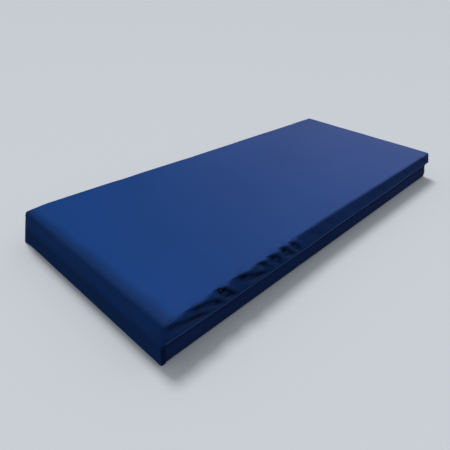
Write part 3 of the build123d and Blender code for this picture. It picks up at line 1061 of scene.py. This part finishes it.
def cut_places(low, high, cuts, wide, edges, gap):
    """Stations across a block: close together at its edges and at both walls of each cut."""
    near = np.array([0.0, 0.0006, 0.0016, 0.0032, 0.0055])
    places = [low + near * edges[0] / 0.006, high - near * edges[1] / 0.006]
    walls = [low] + [c + s * wide / 2 for c in cuts for s in (-1, 1)] + [high]
    for start, end in zip(walls[0::2], walls[1::2]):
        count = max(2, int((end - start) / gap))
        places.append(np.linspace(start + 0.012, end - 0.012, count))
        places += [start + near, end - near]
    for c in cuts:
        places.append(c + np.array([-wide / 2 + WALL_SLOPE, 0.0, wide / 2 - WALL_SLOPE]))
    places = np.unique(np.round(np.concatenate(places), 6))
    return places[(places >= low - 1e-9) & (places <= high + 1e-9)]


def cut_fall(place, low, high, cuts, wide, deep, edges):
    """How far the top has fallen at a place across the block."""
    fall = rounded(place - low, edges[0]) + rounded(high - place, edges[1])
    for c in cuts:
        clear = np.abs(place - c) - wide / 2
        fall = fall + np.where(clear < -1e-6, deep, rounded(clear, CELL_R) * (clear < CELL_R))
    return fall


def foam_block(node, name, finish, edges_x, edges_y, cuts_x=(), cuts_y=(), wide=0.006, deep=0.055,
               full=False, seed=70, gap=0.012):
    """A block of foam with rounded edges and cuts across its top, drawn in under the cover. A full
    block keeps its height and fills the border out."""
    low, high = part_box(node)
    low_x = low.x + FOAM_HEAD_CLEAR
    top = high.z - (0 if full else FOAM_DROP)
    xs = cut_places(low_x, high.x, cuts_x, wide, edges_x, gap)
    ys = cut_places(low.y, high.y, cuts_y, wide, edges_y, gap)
    fall_x = cut_fall(xs, low_x, high.x, cuts_x, wide, deep, edges_x)
    fall_y = cut_fall(ys, low.y, high.y, cuts_y, wide, deep, edges_y)
    grid_x, grid_y = np.meshgrid(xs, ys, indexing="ij")
    fall = np.minimum(fall_x[:, None] + fall_y[None, :], max(deep, 0.03))
    height = top - fall - 0.0006 * (value_noise(grid_x * 14, grid_y * 14, seed) + 1)
    nx, ny = len(xs), len(ys)
    ring, ring_x, ring_y = grid_ring(xs, ys)
    ring_h = height.ravel()[ring]
    shares = np.array([0.93, 0.8, 0.6, 0.4, 0.22, 0.1, 0.045, 0.015, 0.0])
    px, py, pz = [grid_x.ravel()], [grid_y.ravel()], [height.ravel()]
    rows = [ring]
    count = nx * ny
    outer_y = max(abs(low.y), abs(high.y))
    for share in shares:
        z = low.z + (ring_h - low.z) * share
        under = rounded(z - low.z, 0.004)
        belly = np.zeros_like(z)
        if full:
            belly = np.maximum(0, (HALF_Y - outer_y) - np.interp(z, *border_curve()) - 0.0022)
        shift = belly - under
        at_x = (ring_x <= low_x + 1e-6) * -1 + (ring_x >= high.x - 1e-6) * 1
        at_y = (ring_y <= low.y + 1e-6) * -1 + (ring_y >= high.y - 1e-6) * 1
        shift_x = np.where(at_x > 0, shift, -under)
        px.append(ring_x + at_x * shift_x)
        py.append(ring_y + at_y * shift)
        pz.append(z)
        rows.append(np.arange(count, count + len(ring)))
        count += len(ring)
    px, py, pz = np.concatenate(px), np.concatenate(py), np.concatenate(pz)
    px, py = round_plan(px, py, 0.008)
    verts = np.stack(lean(px, py, pz), axis=1)
    faces = [list(f) for f in np.concatenate([grid_faces(nx, ny), strip_faces(rows)])]
    faces.append([int(i) for i in rows[-1][::-1]])
    block = new_object(name, verts, faces, (finish,))
    block.data.set_sharp_from_angle(angle=math.radians(38))
    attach(block, "mattress")
    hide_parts(node)


def round_plan(x, y, radius):
    """Rounds the upright corners of a rectangle of points."""
    low_x, high_x, low_y, high_y = x.min() + radius, x.max() - radius, y.min() + radius, y.max() - radius
    core_x, core_y = np.clip(x, low_x, high_x), np.clip(y, low_y, high_y)
    dx, dy = (x - core_x) / radius, (y - core_y) / radius
    length = np.maximum(np.hypot(dx, dy), 1e-9)
    share = np.maximum(np.abs(dx), np.abs(dy)) / length
    return core_x + dx * share * radius, core_y + dy * share * radius


def even_cuts(low, high, count):
    """Middles of the cuts that part a length into equal cells."""
    return [low + (high - low) * (k + 1) / count for k in range(count - 1)]


def make_foam():
    """The five blocks. Each gives the radius of its edges at the two ends and at the two sides."""
    end, side, inner = 0.014, 0.016, 0.006
    foam_block("foam_base", "base_foam_block", BASE_FOAM, (0.004, 0.004), (0.004, 0.004),
               full=True, seed=71, deep=0.0, gap=0.03)
    foam_block("foam_rail_front", "rail_foam_front", RAIL_FOAM, (end, end), (side, inner),
               seed=72, gap=0.02)
    foam_block("foam_rail_back", "rail_foam_back", RAIL_FOAM, (end, end), (inner, side),
               seed=73, gap=0.02)
    low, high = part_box("foam_torso")
    foam_block("foam_torso", "torso_foam_cells", TORSO_FOAM, (end, inner), (inner, inner),
               cuts_x=even_cuts(low.x, high.x, 20), cuts_y=even_cuts(low.y, high.y, 9), seed=74)
    low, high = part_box("foam_heel")
    foam_block("foam_heel", "heel_foam_channels", HEEL_FOAM, (inner, end), (inner, inner),
               cuts_x=even_cuts(low.x, high.x, 9), wide=0.010, deep=0.060, seed=75)


make_foam()


# ---------------------------------------------------------------- stage and light


FLOOR_COLOUR = (0.55, 0.57, 0.59)
FLOOR_HALF = 60.0
SKY_UNDER = (0.155, 0.165, 0.175)
SKY_OVER = (0.82, 0.86, 0.93)
SKY_POWER = 0.76
GLOW_TOWARD = (0.98, 0.10, 0.24)
GLOW_DIM = (0.008, 0.012, 0.03)
GLOW_BRIGHT = (0.58, 0.56, 0.73)
GLOW_SPREAD = (0.62, 0.99)
BACKDROP = (0.86, 0.88, 0.90)
BACKDROP_POWER = 0.95


def make_stage():
    """A plain pale floor. It takes shadows, and throws no light on the mattress."""
    corners = [(x * FLOOR_HALF, y * FLOOR_HALF, 0) for x, y in ((-1, -1), (1, -1), (1, 1), (-1, 1))]
    floor = new_object("floor", corners, [(0, 1, 2, 3)], smooth_faces=False)
    floor.data.materials.append(material("floor", matt_floor))
    floor.visible_diffuse = False
    floor.visible_glossy = False
    floor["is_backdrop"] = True


def make_sun(name, direction, strength, angle, colour):
    data = bpy.data.lights.new(name, "SUN")
    data.energy = strength
    data.angle = math.radians(angle)
    data.color = colour
    sun = bpy.data.objects.new(name, data)
    sun.rotation_mode = "QUATERNION"
    sun.rotation_quaternion = Vector(direction).to_track_quat("Z", "Y")
    sun.visible_glossy = False
    bpy.context.scene.collection.objects.link(sun)


def make_world():
    """Pale to the eye, a dim sky for its light, and a glow low on one side for the fabric's sheen:
    the camera, the diffuse light and the reflections each see their own."""
    world = bpy.data.worlds.new("world")
    bpy.context.scene.world = world
    world.use_nodes = True
    tree = world.node_tree
    tree.nodes.clear()
    place = add_node(tree, "TexCoord").outputs["Generated"]
    height = add_node(tree, "SeparateXYZ", {"Vector": place}).outputs["Z"]
    sky_colour = ramp_node(tree, height, SKY_UNDER, SKY_OVER, 0.0, 0.85)
    sky = add_node(tree, "Background", {"Color": sky_colour, "Strength": SKY_POWER})
    ways = {0: place, 1: Vector(GLOW_TOWARD).normalized()}
    toward = add_node(tree, "VectorMath", ways, operation="DOT_PRODUCT").outputs["Value"]
    glow_colour = ramp_node(tree, toward, GLOW_DIM, GLOW_BRIGHT, *GLOW_SPREAD)
    horizon = {"Value": height, "From Min": -0.05, "From Max": 0.12, "To Min": 0.06}
    above = add_node(tree, "MapRange", horizon, interpolation_type="SMOOTHSTEP").outputs["Result"]
    glow = add_node(tree, "Background", {"Color": glow_colour, "Strength": above})
    seen = add_node(tree, "Background", {"Color": (*BACKDROP, 1), "Strength": BACKDROP_POWER})
    path = add_node(tree, "LightPath")
    shown = sky
    for ray, background in (("Is Glossy Ray", glow), ("Is Camera Ray", seen)):
        inputs = {"Fac": path.outputs[ray], 1: shown.outputs[0], 2: background.outputs[0]}
        shown = add_node(tree, "MixShader", inputs)
    add_node(tree, "OutputWorld", {"Surface": shown.outputs[0]})


make_stage()
make_world()
make_sun("key", (0.16, 0.50, 0.84), 2.15, 18.0, (1.0, 0.99, 0.97))
bpy.context.scene.view_settings.view_transform = "Standard"
